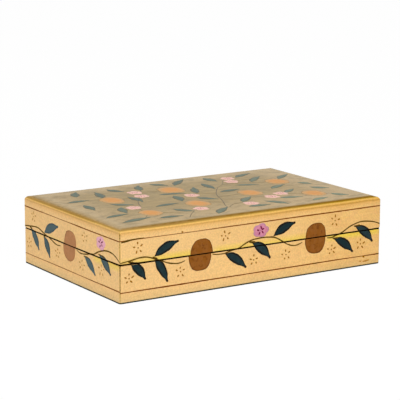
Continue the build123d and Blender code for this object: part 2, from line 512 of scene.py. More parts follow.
def plainFinish(name):
    # lacquer brushed on the boards, stain on cut edges, or paper pasted down: nearly black, faint grain
    dark, light, grain, roughness, sheen, coat = plainFinishes[name]
    material, tree = paintTree(name)
    texture = addNode(tree, "ShaderNodeTexNoise", {"Vector": placeMm(tree, grain), "Scale": 1.0,
                                                   "Detail": 5.0, "Roughness": 0.6})
    mottled = addNode(tree, "ShaderNodeMapRange", {"Value": texture, "From Min": 0.35, "From Max": 0.7})
    color = addNode(tree, "ShaderNodeMix", {0: mottled, 6: hexColor(dark), 7: hexColor(light)},
                    data_type="RGBA")
    uneven = addNode(tree, "ShaderNodeMapRange", {"Value": texture, "To Min": roughness - plainUneven,
                                                  "To Max": roughness + plainUneven})
    bump = addNode(tree, "ShaderNodeBump", {"Strength": 0.35, "Distance": 0.06 * mm, "Height": texture})
    shader = addNode(tree, "ShaderNodeBsdfPrincipled", {
        "Base Color": color.outputs[2], "Roughness": uneven, "Specular IOR Level": sheen, "Normal": bump,
        "Coat Weight": coat, "Coat Roughness": 0.2})
    addNode(tree, "ShaderNodeOutputMaterial", {"Surface": shader})
    return material


goldMaterial = gildedGround(ground)
paintMaterials = {name: gouache(name) for name in paints}
plainMaterials = {name: plainFinish(name) for name in plainFinishes}
print("finishes mixed")

# painted skins of the lid and the base
skinMesh = {
    "longSteps": 88,          # flats of the long and short sides
    "shortSteps": 56,
    "cornerSteps": 6,         # round each upright corner
    "wallStep": 1.6,          # mm between rings up the wall
    "edgeSteps": 10,          # rings round the round-over
    "crispStep": 0.15,        # mm, a ring this near each rim keeps its shading crisp
    "easingSteps": 3,         # rings round the rubbed edge of each rim
    "innerSteps": 5,          # rings of the round-over inside, against the boards
    "innerCorner": {"lid": 0.2, "base": 0.4},     # mm, radius of the upright corners inside
    "stainShare": 0.6,        # how much of a rim's easing keeps the dark stain
    "joinWithin": 0.002,      # mm, points this near each other become one
    "atSeam": 1.0,            # mm, rings this near the seam follow its wavering line
    "rimWobble": (0.04, 9.0, 3),     # mm, how far it wavers and over what length; then the noise's row
    "arrisReach": 0.75,       # mm either side of a corner that is worn dirty
    "cornerDirt": {"lid": 0.9, "base": 1.5},
    "footDirt": (0.5, 3, 7),  # the share of it that lies at the foot, and the heights over which it grows
    "dirtNear": {"lid": (30, 34, 0.5), "base": (14, 19, 0.45)},     # more higher up: from, to, how much
    "dirtRise": 1.6,          # mm up the round-over to where it ends
    "cornerHighlight": 0.4,       # painted highlight: yellow laid along each upright corner
    # painted light and shade: each side's paleness (above 0) or darkness (below 0) where it starts and
    # ends, the curve between, and where it ends on the edge
    "paintedLightLevels": [(0.72, -0.25), (-0.25, 0.1), (0.1, 0.5), (0.5, 0.62)],
    "paintedLightCurve": 1.8,
    "paintedLightRise": (-2.2, 0.6),
    "edgePaintedLight": [           # how much of it reaches over the edge, by place along each side
        [(0, 0.36), (60, 0.3)], [(0, 0.3), (104, 0.3)], [(0, 0.4), (165, 0.4)],
        [(0, 0.52), (45, 0.36), (62, 0.30), (80, 0.40), (104, 0.42)],
    ],
    # painted shade and light on the rounded edge: mm, how much sooner each side's edge turns dark and then
    # pale; and how far up it these begin and end
    "edgeShadeShift": [(0, 0), (1.5, 4), (1.5, 4), (1.25, 1.3)],
    "shadeShiftRise": [(0.8, 2.6), (2.6, 3.4), (4, 9)],
    # how much sooner still it turns dark along the front, by x, and along the left end, by y, in mm
    "soonerBy": {0: [(-82, 0.3), (-66, 0.35), (-50, 0.6), (-25, 0.2), (0, 0), (82, -0.4)],
                 3: [(-52, -0.8), (-30, -0.65), (-12, 0), (52, 0)]},
    # the same for the painted light beside the near corner: how much, and the mm over which it fades
    "nearPaler": {0: (1.3, 8, 30), 3: (1.4, 14, 46)},
    # how much grime and painted shade lies on the front's rounded edge, by x, and how far up it that begins
    # and ends
    "frontEdgeGrimeAndShade": [(-82, 0.08), (-52, 0.2), (-20, 0.08), (10, 0), (82, 0)],
    "edgeGrimeShadeRise": [(1.5, 2.5), (4, 9)],
    # paler ground along the ends, the back and the front of the top: how much, and the mm over which it
    # fades; then more of it at the right of the front, by x and by mm from the front, and at the right
    "veil": [(0.9, 9, 30), (0.8, 8, 20), (0.95, 6, 46)],
    "veilCorner": (0.15, (-20, 70), (20, 60)),
    "veilRight": (0.15, -10, 50),
    "edgeVeil": 0.9,          # on the round-over
}
washFade = 4.0                # mm over which a stretch of glaze fades at either end
washFirm = 1.6                # above 1, it is full before it reaches the seam
washes = {
    # side: stretches of yellow glaze, from and to round the side and up the wall, and how strong
    0: [(-2, 24, 20.0, 23.0, 0.55), (18, 48, 20.0, 23.6, 0.7), (54, 117, 20.0, 23.2, 0.6),
        (127, 166, 15.9, 19.8, 0.8)],
    1: [(0, 26, 20.0, 22.0, 0.4), (60, 98, 16.5, 19.6, 0.5)],
    2: [(6, 40, 20.0, 22.6, 0.5), (58, 112, 20.0, 22.8, 0.6), (130, 160, 16.5, 19.6, 0.6)],
    3: [(14, 24, 18.0, 19.8, 0.2), (26, 46, 20.0, 21.4, 0.2), (76, 106, 15.8, 19.8, 0.65)],
}


def washAt(s, z):
    # how strong the yellow glaze is at a place on the band: full at the seam, thinning away from it
    total = 0.0
    for side, stretches in washes.items():
        for first, last, low, high, strength in stretches:
            u = (s - sideStart[side]) % girth
            inward = min(u - first, last - u) / washFade
            overSeam = low >= seamZ
            fade = (high - z) / (high - low) if overSeam else (z - low) / (high - low)
            if overSeam == (z > seamZ):
                shown = max(0, min(1, inward)) * max(0, min(1, fade * washFirm))
                total = max(total, strength * shown)
    return total


def stations():
    # places round the box where every ring of a skin has a point, closer together at the corners
    places = []
    for side in range(4):
        steps = skinMesh["longSteps"] if side % 2 == 0 else skinMesh["shortSteps"]
        corner = form["cornerRadius"]
        flat = sideLength[side] - 2 * corner
        start = sideStart[side]
        half = skinMesh["cornerSteps"] // 2
        places += [start + corner * i / half for i in range(half)]
        places += [start + corner + flat * i / steps for i in range(steps)]
        places += [start + corner + flat + corner * i / half for i in range(half)]
    return places


def readProfile(profile, u):
    # a value that runs straight from one (place, value) pair to the next
    for (first, before), (last, after) in zip(profile, profile[1:]):
        if u <= last:
            return before + (after - before) * max(0.0, u - first) / (last - first)
    return profile[-1][1]


def smooth(value, start, end):
    share = max(0.0, min(1.0, (value - start) / (end - start)))
    return share * share * (3 - 2 * share)


def paintedLightAt(s, rise):
    # painted light and shade: how much paler (above 0) or darker (below 0) the gold is painted here
    side, u = sideAt(s)
    first, last = skinMesh["paintedLightLevels"][side]
    level = first + (last - first) * (u / sideLength[side]) ** skinMesh["paintedLightCurve"]
    over = readProfile(skinMesh["edgePaintedLight"][side], u)
    return level * (1 - (1 - over) * smooth(rise, *skinMesh["paintedLightRise"]))


def veilAt(x, y):
    # the top is paler towards its edges, most of all towards the front
    toFront = boxDepth / 2 + y
    reaches = (boxWidth / 2 - abs(x), boxDepth / 2 - y, toFront)
    ends, back, front = (most * (1 - smooth(reach, near, far))
                         for (most, near, far), reach in zip(skinMesh["veil"], reaches))
    most, acrossTop, inward = skinMesh["veilCorner"]
    front += most * smooth(x, *acrossTop) * (1 - smooth(toFront, *inward))
    most, left, right = skinMesh["veilRight"]
    return min(1.0, max(ends, back, front) + most * smooth(x, left, right))


def toneAndShadeRise(rise, side, spot):
    # the place on the toned edge, with its painted shade and light, that a side shows at this distance from
    # the foot of its round-over
    sooner, paler = skinMesh["edgeShadeShift"][side]
    if side in skinMesh["nearPaler"]:
        most, near, far = skinMesh["nearPaler"][side]
        fromCorner = spot.x + boxWidth / 2 if side == 0 else spot.y + boxDepth / 2
        paler += most * (1 - smooth(fromCorner, near, far))
    if side in skinMesh["soonerBy"]:
        sooner += readProfile(skinMesh["soonerBy"][side], spot.x if side == 0 else spot.y)
    darkens, pales, ends = skinMesh["shadeShiftRise"]
    shift = sooner * smooth(rise, *darkens) + paler * smooth(rise, *pales)
    return rise + shift * (1 - smooth(rise, *ends))


def joinRings(bm, pairs):
    for lower, upper in pairs:
        for i in range(len(lower)):
            j = (i + 1) % len(lower)
            bm.faces.new((lower[i], lower[j], upper[j], upper[i]))


def skinShell(half, sections, capped):
    # sections run up the outside and down the inside: inset, z, tilt of the surface, corner radius,
    # edge rise, and whether it is painted
    bm = bmesh.new()
    layers = {name: bm.verts.layers.float.new(name)
              for name in ("edgeRise", "wash", "arris", "paintedLightShade", "veil")}
    wobble, wobbleLength, row = skinMesh["rimWobble"]
    footShare, footLow, footHigh = skinMesh["footDirt"]
    dirtLow, dirtHigh, dirtMost = skinMesh["dirtNear"][half]
    grimeShadeStart, grimeShadeEnd = skinMesh["edgeGrimeShadeRise"]
    places = stations()
    rings = []
    for inset, z, tilt, corner, rise, outer in sections:
        ring = []
        for s in places:
            flat, way = bandSpot(s, inset, corner)
            spot = Vector((flat.x, flat.y, z))
            facing = Vector((way.x * math.cos(tilt), way.y * math.cos(tilt), math.sin(tilt)))
            if outer:
                spot -= facing * groundDip(spot, half)
                if abs(z - seamZ) < skinMesh["atSeam"]:
                    rimHere = seamEdge(half, s) - seamEdge(half, girth / 2)
                    spot.z += rimHere + wobble * noise.noise(Vector((s / wobbleLength, 0, row)))
            vert = bm.verts.new(spot * mm)
            # one of these layers holds the painted light and shade of the gold
            values = {"edgeRise": rise, "wash": washAt(s, z) if outer else 0.0, "arris": 0.0,
                      "paintedLightShade": paintedLightAt(s, rise), "veil": skinMesh["edgeVeil"]}
            if rise > 0:
                values["edgeRise"] = (toneAndShadeRise(rise, 0 if way.y < 0 else 2, spot) * way.y ** 2
                                      + toneAndShadeRise(rise, 1 if way.x > 0 else 3, spot) * way.x ** 2)
            side, u = sideAt(s)
            offCorner = min(u, sideLength[side] - u)
            if outer and rise < skinMesh["dirtRise"]:
                grown = footShare + (1 - footShare) * smooth(z, footLow, footHigh)
                dirt = skinMesh["cornerDirt"][half] * grown
                dirt *= 1 - max(0.0, rise) / skinMesh["dirtRise"]
                dirt += dirtMost * smooth(z, dirtLow, dirtHigh)
                nearCorner = max(0.0, 1 - offCorner / skinMesh["arrisReach"])
                values["arris"] = dirt * nearCorner
                # painted highlight: yellow along the upright corner
                values["wash"] = max(values["wash"], skinMesh["cornerHighlight"] * nearCorner)
            # grime and painted shade along the front's rounded edge
            if rise > 0 and way.y < -0.5:
                grimeAndShade = readProfile(skinMesh["frontEdgeGrimeAndShade"], spot.x) * smooth(rise, *grimeShadeStart)
                values["arris"] = max(values["arris"], grimeAndShade * (1 - smooth(rise, *grimeShadeEnd)))
            for name, value in values.items():
                vert[layers[name]] = value
            ring.append(vert)
        rings.append(ring)
    joinRings(bm, zip(rings, rings[1:]))
    if not capped:
        joinRings(bm, [(rings[-1], rings[0])])
    return bm, rings


def finishSkin(name, bm, low, high):
    # the rims below and above these heights and the faces inside are stained dark
    bmesh.ops.remove_doubles(bm, verts=bm.verts, dist=skinMesh["joinWithin"] * mm)
    bmesh.ops.recalc_face_normals(bm, faces=bm.faces)
    riseLayer = bm.verts.layers.float["edgeRise"]
    for face in bm.faces:
        middle = face.calc_center_median().z / mm
        inside = all(vert[riseLayer] == 0 for vert in face.verts)
        face.smooth = True
        face.material_index = 1 if inside or not low < middle < high else 0
    mesh = bpy.data.meshes.new(name)
    bm.to_mesh(mesh)
    bm.free()
    mesh.materials.append(goldMaterial)
    mesh.materials.append(plainMaterials["rimStain"])
    return newObject(name, mesh)


def wallSections(low, high):
    steps = max(2, round((high - low) / skinMesh["wallStep"]))
    heights = [low + (high - low) * i / steps for i in range(steps + 1)]
    return [(0.0, z, 0.0, form["cornerRadius"], z - straightTop, True) for z in heights]


def easedRim(rim, outward):
    # rings round a rubbed rim, from the rim's flat to the wall; outward is -1 for a rim facing down
    rings = []
    radius = form["easing"]
    for i in range(skinMesh["easingSteps"] + 1):
        turn = math.pi / 2 * i / skinMesh["easingSteps"]
        z = rim - outward * radius * (1 - math.cos(turn))
        rings.append((radius * (1 - math.sin(turn)), z, 0.0, form["cornerRadius"], z - straightTop, True))
    return rings


def makeLidSkin():
    rim = seamZ + form["seamGap"]
    sections = easedRim(rim, -1)
    sections += wallSections(rim + form["easing"] + skinMesh["crispStep"], straightTop)[:-1]
    for i in range(skinMesh["edgeSteps"] + 1):
        turn = math.pi / 2 * i / skinMesh["edgeSteps"]
        radius = form["edgeRadius"]
        sections.append((radius * (1 - math.cos(turn)), straightTop + radius * math.sin(turn), turn,
                         form["cornerRadius"] * (1 - i / skinMesh["edgeSteps"]), radius * turn, True))
    bm, rings = skinShell("lid", sections, True)
    layers = bm.verts.layers.float
    # flat of the top
    halfWide = boxWidth / 2 - form["edgeRadius"]
    halfDeep = boxDepth / 2 - form["edgeRadius"]
    roundRise = form["edgeRadius"] * math.pi / 2
    columns, rows = skinMesh["longSteps"], skinMesh["shortSteps"]
    grid = []
    for j in range(rows + 1):
        line = []
        for i in range(columns + 1):
            spot = Vector((halfWide * (2 * i / columns - 1), halfDeep * (2 * j / rows - 1), boxTop))
            ways = (halfDeep + spot.y, halfWide - spot.x, halfDeep - spot.y, halfWide + spot.x)
            spot.z -= groundDip(spot, "lid")
            vert = bm.verts.new(spot * mm)
            vert[layers["edgeRise"]] = min(toneAndShadeRise(roundRise + way, side, spot)
                                           for side, way in enumerate(ways))
            vert[layers["veil"]] = veilAt(spot.x, spot.y)
            line.append(vert)
        grid.append(line)
    for lower, upper in zip(grid, grid[1:]):
        for i in range(columns):
            bm.faces.new((lower[i], lower[i + 1], upper[i + 1], upper[i]))
    # inside faces, against the boards
    boardRadius = form["edgeRadius"] - skinThickness
    turns = [math.pi / 2 * i / skinMesh["innerSteps"] for i in range(skinMesh["innerSteps"] + 1)]
    curved = [(boardRadius * (1 - math.cos(turn)), straightTop + boardRadius * math.sin(turn))
              for turn in turns]
    inner = []
    for inset, z in [(0, rim)] + curved:
        flats = [bandSpot(s, skinThickness + inset, skinMesh["innerCorner"]["lid"])[0] for s in stations()]
        inner.append([bm.verts.new(Vector((flat.x, flat.y, z)) * mm) for flat in flats])
    joinRings(bm, [(inner[0], rings[0])] + list(zip(inner[1:], inner)))
    bm.faces.new(inner[-1])
    piece = finishSkin("lidSkin", bm, rim + form["easing"] * skinMesh["stainShare"], math.inf)
    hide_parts("lid_painted_skin")
    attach(piece, "lid")


def makeBaseSkin():
    rim = seamZ - form["seamGap"]
    crisp = form["easing"] + skinMesh["crispStep"]
    corner = skinMesh["innerCorner"]["base"]
    sections = easedRim(footZ, -1)
    sections += wallSections(footZ + crisp, rim - crisp)
    sections += list(reversed(easedRim(rim, 1)))
    sections += [(skinThickness, z, 0.0, corner, 0.0, False) for z in (rim, footZ)]
    bm = skinShell("base", sections, False)[0]
    stained = form["easing"] * skinMesh["stainShare"]
    piece = finishSkin("baseSkin", bm, footZ + stained, rim - stained)
    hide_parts("base_painted_skin")
    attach(piece, "base")


makeLidSkin()
makeBaseSkin()
print("skins laid")

# brush strokes: one geometry tree, used for leaves, stems, rules and the like
strokeInputs = {
    # name: socket kind and default; lengths in mm
    "Geometry": ("NodeSocketGeometry", None),
    "Width": ("NodeSocketFloat", 1.0),        # full width where a point's own width is 1
    "Spacing": ("NodeSocketFloat", 0.4),      # between rings along the stroke
    "Sides": ("NodeSocketInt", 12),           # points round the stroke
    "Lift": ("NodeSocketFloat", 0.06),        # thickness of the paint
    "Sink": ("NodeSocketFloat", 0.06),        # how far the film goes into the ground
    "Tone": ("NodeSocketFloat", 0.0),         # lighter paint above 0
    "Tone Spread": ("NodeSocketFloat", 0.15),
    "Wander": ("NodeSocketFloat", 0.12),      # unevenness of the width, as a share
    "Seed": ("NodeSocketInt", 1),
    "Paint": ("NodeSocketMaterial", None),
}

handwork = {
    # what is the same in every stroke and star
    "sunkAt": -0.4,               # where under its edge a film is fully sunk
    "crown": 3.0,                 # how flat its top is
    "wanderScale": 0.35,          # per mm, of the noise that changes a stroke's width
    "wanderRange": (0.25, 0.75),  # and what is read of it
    # a star turns and each dab swings, in radians; then how much longer or shorter a dab is
    "dabChances": {"lean": (0.10, 0.55), "swing": (-0.35, 0.35), "stretch": (0.7, 1.35)},
    "dabStray": 0.28,             # mm, how far a dab is out of place
    "curveSteps": 10,             # of a stroke's guiding curve, between two of its points
}


def newTree(name, inputs):
    tree = bpy.data.node_groups.new(name, "GeometryNodeTree")
    for label, (kind, value) in inputs.items():
        socket = tree.interface.new_socket(label, in_out="INPUT", socket_type=kind)
        if value is not None:
            socket.default_value = value
    tree.interface.new_socket("Geometry", in_out="OUTPUT", socket_type="NodeSocketGeometry")
    return tree, addNode(tree, "NodeGroupInput")


def pressFilm(tree, inlet, film, up):
    # flattens a film to the thickness of its paint: up runs from -1 at the bottom of a section, over 0 at
    # its edge, to 1 on top
    under = addNode(tree, "ShaderNodeMapRange", {"Value": up, "From Min": 0.0,
                                                 "From Max": handwork["sunkAt"],
                                                 "To Max": inlet.outputs["Sink"]})
    flat = addNode(tree, "ShaderNodeMath", {0: 1.0, 1: up}, operation="SUBTRACT", use_clamp=True)
    crown = addNode(tree, "ShaderNodeMath", {0: flat, 1: handwork["crown"]}, operation="POWER")
    crown = addNode(tree, "ShaderNodeMath", {0: 1.0, 1: crown}, operation="SUBTRACT")
    crown = addNode(tree, "ShaderNodeMath", {0: crown, 1: inlet.outputs["Lift"]}, operation="MULTIPLY")
    height = addNode(tree, "ShaderNodeMath", {0: crown, 1: under}, operation="SUBTRACT")
    place = addNode(tree, "ShaderNodeSeparateXYZ", {0: addNode(tree, "GeometryNodeInputPosition")})
    pressed = addNode(tree, "ShaderNodeCombineXYZ", {0: place.outputs[0], 1: place.outputs[1], 2: height})
    film = addNode(tree, "GeometryNodeSetPosition", {"Geometry": film, "Position": pressed})
    film = addNode(tree, "GeometryNodeRealizeInstances", {"Geometry": film})
    film = addNode(tree, "GeometryNodeSetMaterial", {"Geometry": film, "Material": inlet.outputs["Paint"]})
    addNode(tree, "NodeGroupOutput", {"Geometry": film})


def strokeTree(name, outline):
    # outline: how wide the stroke is along its length, as points of a curve from 0 to 1
    tree, inlet = newTree(name, strokeInputs)
    line = addNode(tree, "GeometryNodeResampleCurve", {"Curve": inlet.outputs["Geometry"],
                                                       "Length": inlet.outputs["Spacing"]}, mode="LENGTH")
    line = addNode(tree, "GeometryNodeSetCurveNormal", {"Curve": line}, mode="Z_UP")
    along = addNode(tree, "GeometryNodeSplineParameter")
    profile = addNode(tree, "ShaderNodeFloatCurve", {"Value": along.outputs["Factor"]})
    curve = profile.mapping.curves[0]
    curve.points[0].location = outline[0]
    curve.points[1].location = outline[-1]
    for spot in outline[1:-1]:
        curve.points.new(*spot)
    profile.mapping.update()
    number = addNode(tree, "GeometryNodeInputIndex")
    chance = addNode(tree, "FunctionNodeRandomValue", {2: -1.0, 3: 1.0, "ID": number,
                                                       "Seed": inlet.outputs["Seed"]}, data_type="FLOAT")
    chance = addNode(tree, "GeometryNodeFieldOnDomain", {0: chance.outputs[1]}, domain="CURVE")
    tone = addNode(tree, "ShaderNodeMath", {0: chance, 1: inlet.outputs["Tone Spread"],
                                            2: inlet.outputs["Tone"]}, operation="MULTIPLY_ADD")
    for label, value in (("tone", tone), ("along", along.outputs["Factor"])):
        line = addNode(tree, "GeometryNodeStoreNamedAttribute", {"Geometry": line, "Name": label,
                                                                 "Value": value},
                       data_type="FLOAT", domain="POINT")
    hand = addNode(tree, "ShaderNodeTexNoise", {"Vector": addNode(tree, "GeometryNodeInputPosition"),
                                                "W": inlet.outputs["Seed"],
                                                "Scale": handwork["wanderScale"], "Detail": 1.0},
                   noise_dimensions="4D")
    least, most = handwork["wanderRange"]
    hand = addNode(tree, "ShaderNodeMapRange", {"Value": hand, "From Min": least, "From Max": most,
                                                "To Min": -1.0, "To Max": 1.0}, clamp=False)
    uneven = addNode(tree, "ShaderNodeMath", {0: hand, 1: inlet.outputs["Wander"], 2: 1.0},
                     operation="MULTIPLY_ADD")
    half = profile
    for factor in (inlet.outputs["Width"], addNode(tree, "GeometryNodeInputRadius"), uneven, 0.5):
        half = addNode(tree, "ShaderNodeMath", {0: half, 1: factor}, operation="MULTIPLY")
    ring = addNode(tree, "GeometryNodeCurvePrimitiveCircle", {"Resolution": inlet.outputs["Sides"],
                                                              "Radius": 1.0}, mode="RADIUS")
    corner = addNode(tree, "ShaderNodeSeparateXYZ", {0: addNode(tree, "GeometryNodeInputPosition")})
    for label, value in (("across", corner.outputs[0]), ("up", corner.outputs[1])):
        ring = addNode(tree, "GeometryNodeStoreNamedAttribute", {"Geometry": ring, "Name": label,
                                                                 "Value": value},
                       data_type="FLOAT", domain="POINT")
    film = addNode(tree, "GeometryNodeCurveToMesh", {"Curve": line, "Profile Curve": ring, "Scale": half,
                                                     "Fill Caps": True})
    up = addNode(tree, "GeometryNodeInputNamedAttribute", {"Name": "up"}, data_type="FLOAT")
    pressFilm(tree, inlet, film, up)
    return tree


starInputs = {
    "Geometry": ("NodeSocketGeometry", None),      # one point for each star
    "Arms": ("NodeSocketInt", 5),
    "Reach": ("NodeSocketFloat", 2.3),             # mm from the middle to a dab
    "Dab Length": ("NodeSocketFloat", 1.5),
    "Dab Width": ("NodeSocketFloat", 0.85),
    "Middle": ("NodeSocketFloat", 0.85),           # size of the middle dot, 0 for none
    "Lift": ("NodeSocketFloat", 0.05),
    "Sink": ("NodeSocketFloat", 0.05),
    "Seed": ("NodeSocketInt", 1),
    "Paint": ("NodeSocketMaterial", None),
}


def starTree(name):
    # short dabs round a dot, set on every point, each a little out of place
    tree, inlet = newTree(name, starInputs)
    seed = inlet.outputs["Seed"]
    wheel = addNode(tree, "GeometryNodeMeshCircle", {"Vertices": inlet.outputs["Arms"],
                                                     "Radius": inlet.outputs["Reach"]})
    spoke = addNode(tree, "ShaderNodeSeparateXYZ", {0: addNode(tree, "GeometryNodeInputPosition")})
    aim = addNode(tree, "ShaderNodeMath", {0: spoke.outputs[1], 1: spoke.outputs[0]}, operation="ARCTAN2")
    wheel = addNode(tree, "GeometryNodeStoreNamedAttribute", {"Geometry": wheel, "Name": "aim",
                                                              "Value": aim},
                    data_type="FLOAT", domain="POINT")
    chance = {}
    for label, (low, high) in handwork["dabChances"].items():
        chance[label] = addNode(tree, "FunctionNodeRandomValue", {2: low, 3: high, "Seed": seed},
                                data_type="FLOAT").outputs[1]
    points = addNode(tree, "GeometryNodeStoreNamedAttribute", {"Geometry": inlet.outputs["Geometry"],
                                                               "Name": "lean", "Value": chance["lean"]},
                     data_type="FLOAT", domain="POINT")
    leanHere = addNode(tree, "GeometryNodeInputNamedAttribute", {"Name": "lean"}, data_type="FLOAT")
    turned = addNode(tree, "ShaderNodeCombineXYZ", {2: leanHere.outputs[0]})
    turned = addNode(tree, "FunctionNodeEulerToRotation", {0: turned})
    arms = addNode(tree, "GeometryNodeInstanceOnPoints", {"Points": points, "Instance": wheel,
                                                          "Rotation": turned})
    arms = addNode(tree, "GeometryNodeRealizeInstances", {"Geometry": arms})
    stray = handwork["dabStray"]
    jitter = addNode(tree, "FunctionNodeRandomValue", {0: (-stray, -stray, 0.0), 1: (stray, stray, 0.0),
                                                       "Seed": seed}, data_type="FLOAT_VECTOR")
    arms = addNode(tree, "GeometryNodeSetPosition", {"Geometry": arms, "Offset": jitter.outputs[0]})
    dab = addNode(tree, "GeometryNodeMeshUVSphere", {"Segments": 12, "Rings": 6, "Radius": 0.5})
    aimHere = addNode(tree, "GeometryNodeInputNamedAttribute", {"Name": "aim"}, data_type="FLOAT")
    heading = aimHere.outputs[0]
    for turn in (leanHere.outputs[0], chance["swing"]):
        heading = addNode(tree, "ShaderNodeMath", {0: heading, 1: turn}, operation="ADD")
    heading = addNode(tree, "ShaderNodeCombineXYZ", {2: heading})
    heading = addNode(tree, "FunctionNodeEulerToRotation", {0: heading})
    length = addNode(tree, "ShaderNodeMath", {0: inlet.outputs["Dab Length"], 1: chance["stretch"]},
                     operation="MULTIPLY")
    size = addNode(tree, "ShaderNodeCombineXYZ", {0: length, 1: inlet.outputs["Dab Width"], 2: 1.0})
    dabs = addNode(tree, "GeometryNodeInstanceOnPoints", {"Points": arms, "Instance": dab,
                                                          "Rotation": heading, "Scale": size})
    dotSize = addNode(tree, "ShaderNodeCombineXYZ", {0: inlet.outputs["Middle"], 1: inlet.outputs["Middle"],
                                                     2: 1.0})
    hasDot = addNode(tree, "FunctionNodeCompare", {0: inlet.outputs["Middle"], 1: 0.0}, data_type="FLOAT",
                     operation="GREATER_THAN")
    dots = addNode(tree, "GeometryNodeInstanceOnPoints", {"Points": points, "Selection": hasDot,
                                                          "Instance": dab, "Scale": dotSize})
    both = addNode(tree, "GeometryNodeJoinGeometry", {"Geometry": dabs})
    tree.links.new(dots.outputs[0], both.inputs[0])
    film = addNode(tree, "GeometryNodeRealizeInstances", {"Geometry": both})
    place = addNode(tree, "ShaderNodeSeparateXYZ", {0: addNode(tree, "GeometryNodeInputPosition")})
    up = addNode(tree, "ShaderNodeMath", {0: place.outputs[2], 1: 2.0}, operation="MULTIPLY")
    pressFilm(tree, inlet, film, up)
    return tree


leafTree = strokeTree("leafStroke", [(0.0, 0.05), (0.05, 0.20), (0.17, 0.60), (0.32, 0.93), (0.46, 1.0),
                                     (0.60, 0.94), (0.74, 0.70), (0.85, 0.40), (0.92, 0.27), (0.985, 0.24),
                                     (1.0, 0.14)])
lineTree = strokeTree("lineStroke", [(0.0, 0.35), (0.05, 0.85), (0.5, 1.0), (0.93, 0.85), (1.0, 0.3)])
dabTree = starTree("starDabs")


def runTree(tree, data, values):
    # puts a curve or mesh through a tree and gives the result as a plain mesh on its flat sheet
    holder = newObject(tree.name, data)
    modifier = holder.modifiers.new(tree.name, "NODES")
    modifier.node_group = tree
    sockets = {item.name: item.identifier for item in tree.interface.items_tree if item.in_out == "INPUT"}
    for name, value in values.items():
        modifier[sockets[name]] = paintMaterials[value] if name == "Paint" else value
    depsgraph = bpy.context.evaluated_depsgraph_get()
    mesh = bpy.data.meshes.new_from_object(holder.evaluated_get(depsgraph), preserve_all_data_layers=True,
                                           depsgraph=depsgraph)
    holder.modifiers.remove(modifier)
    bpy.data.objects.remove(holder)
    return mesh


def strokes(tree, lines, **values):
    # each line is a list of (x, y, width) on the flat sheet
    data = bpy.data.curves.new(tree.name, "CURVE")
    data.dimensions = "3D"
    data.resolution_u = handwork["curveSteps"]
    for line in lines:
        spline = data.splines.new("BEZIER")
        spline.bezier_points.add(len(line) - 1)
        for point, (x, y, width) in zip(spline.bezier_points, line):
            point.co = (x, y, 0)
            point.radius = width
            point.handle_left_type = "AUTO"
            point.handle_right_type = "AUTO"
    return runTree(tree, data, values)


def stars(spots, **values):
    data = bpy.data.meshes.new("starPoints")
    data.from_pydata([(x, y, 0) for x, y in spots], [], [])
    return runTree(dabTree, data, values)


patchMesh = {
    "rings": 9,
    "spokes": 64,
    "bunching": 0.8,              # below 1 the rings stand closer together towards the edge
    "edgePower": 8,               # how late the film thins out
    "under": (0.97, -0.06),       # ring below the edge: its share of the outline and its height in mm
    "waves": [(1.3, 1.0), (3.4, 0.5)],     # unevenness of the outline: how fine and how strong
    "seedStep": 3.1,
    "lobePower": 0.7,             # below 1 the notches between lobes are narrow
}


def patch(middle, across, high, lobes=0, notch=0.0, squareness=2.0, turn=0.0, seed=1, lift=0.07, tone=0.0,
          rough=0.05):
    # a filled shape such as a fruit or a blossom, laid as a thin film crowned towards its middle
    rings, spokes = patchMesh["rings"], patchMesh["spokes"]
    bm = bmesh.new()
    acrossLayer = bm.verts.layers.float.new("across")
    toneLayer = bm.verts.layers.float.new("tone")
    row = Vector((0, 0, seed * patchMesh["seedStep"]))

    def addVert(share, angle, z):
        wheel = Vector((math.cos(angle), math.sin(angle), 0))
        wave = sum(strength * noise.noise(wheel * scale + row) for scale, strength in patchMesh["waves"])
        lobe = abs(math.cos(lobes * (angle - turn) / 2)) if lobes else 1.0
        outline = (1 - notch * (1 - lobe ** patchMesh["lobePower"])) * (1 + rough * wave)
        power = 2 / squareness
        dx = math.copysign(abs(math.cos(angle)) ** power, math.cos(angle))
        dy = math.copysign(abs(math.sin(angle)) ** power, math.sin(angle))
        vert = bm.verts.new((middle[0] + dx * across / 2 * share * outline,
                             middle[1] + dy * high / 2 * share * outline, z))
        vert[acrossLayer] = share
        vert[toneLayer] = tone
        return vert

    shares = [(i / rings) ** patchMesh["bunching"] for i in range(1, rings + 1)]
    levels = [(share, lift * (1 - share ** patchMesh["edgePower"])) for share in shares]
    levels.append(patchMesh["under"])
    top = [[addVert(share, 2 * math.pi * k / spokes, z) for k in range(spokes)] for share, z in levels]
    heart = addVert(0.0, 0.0, lift)
    for k in range(spokes):
        j = (k + 1) % spokes
        bm.faces.new((heart, top[0][k], top[0][j]))
        for inner, outer in zip(top, top[1:]):
            bm.faces.new((inner[k], outer[k], outer[j], inner[j]))
    bm.faces.new(list(reversed(top[-1])))
    mesh = bpy.data.meshes.new("patch")
    bm.to_mesh(mesh)
    bm.free()
    return mesh


def turnOutward(bm):
    # every closed film faces out: one whose volume comes out below 0 is turned over
    bmesh.ops.recalc_face_normals(bm, faces=bm.faces)
    seen = set()
    for start in bm.faces[:]:
        if start in seen:
            continue
        seen.add(start)
        film = [start]
        volume = 0.0
        for face in film:
            corners = [vert.co for vert in face.verts]
            volume += sum(corners[0].dot(a.cross(b)) for a, b in zip(corners[1:], corners[2:]))
            for edge in face.edges:
                fresh = [other for other in edge.link_faces if other not in seen]
                seen.update(fresh)
                film += fresh
        if volume < 0:
            bmesh.ops.reverse_faces(bm, faces=film)


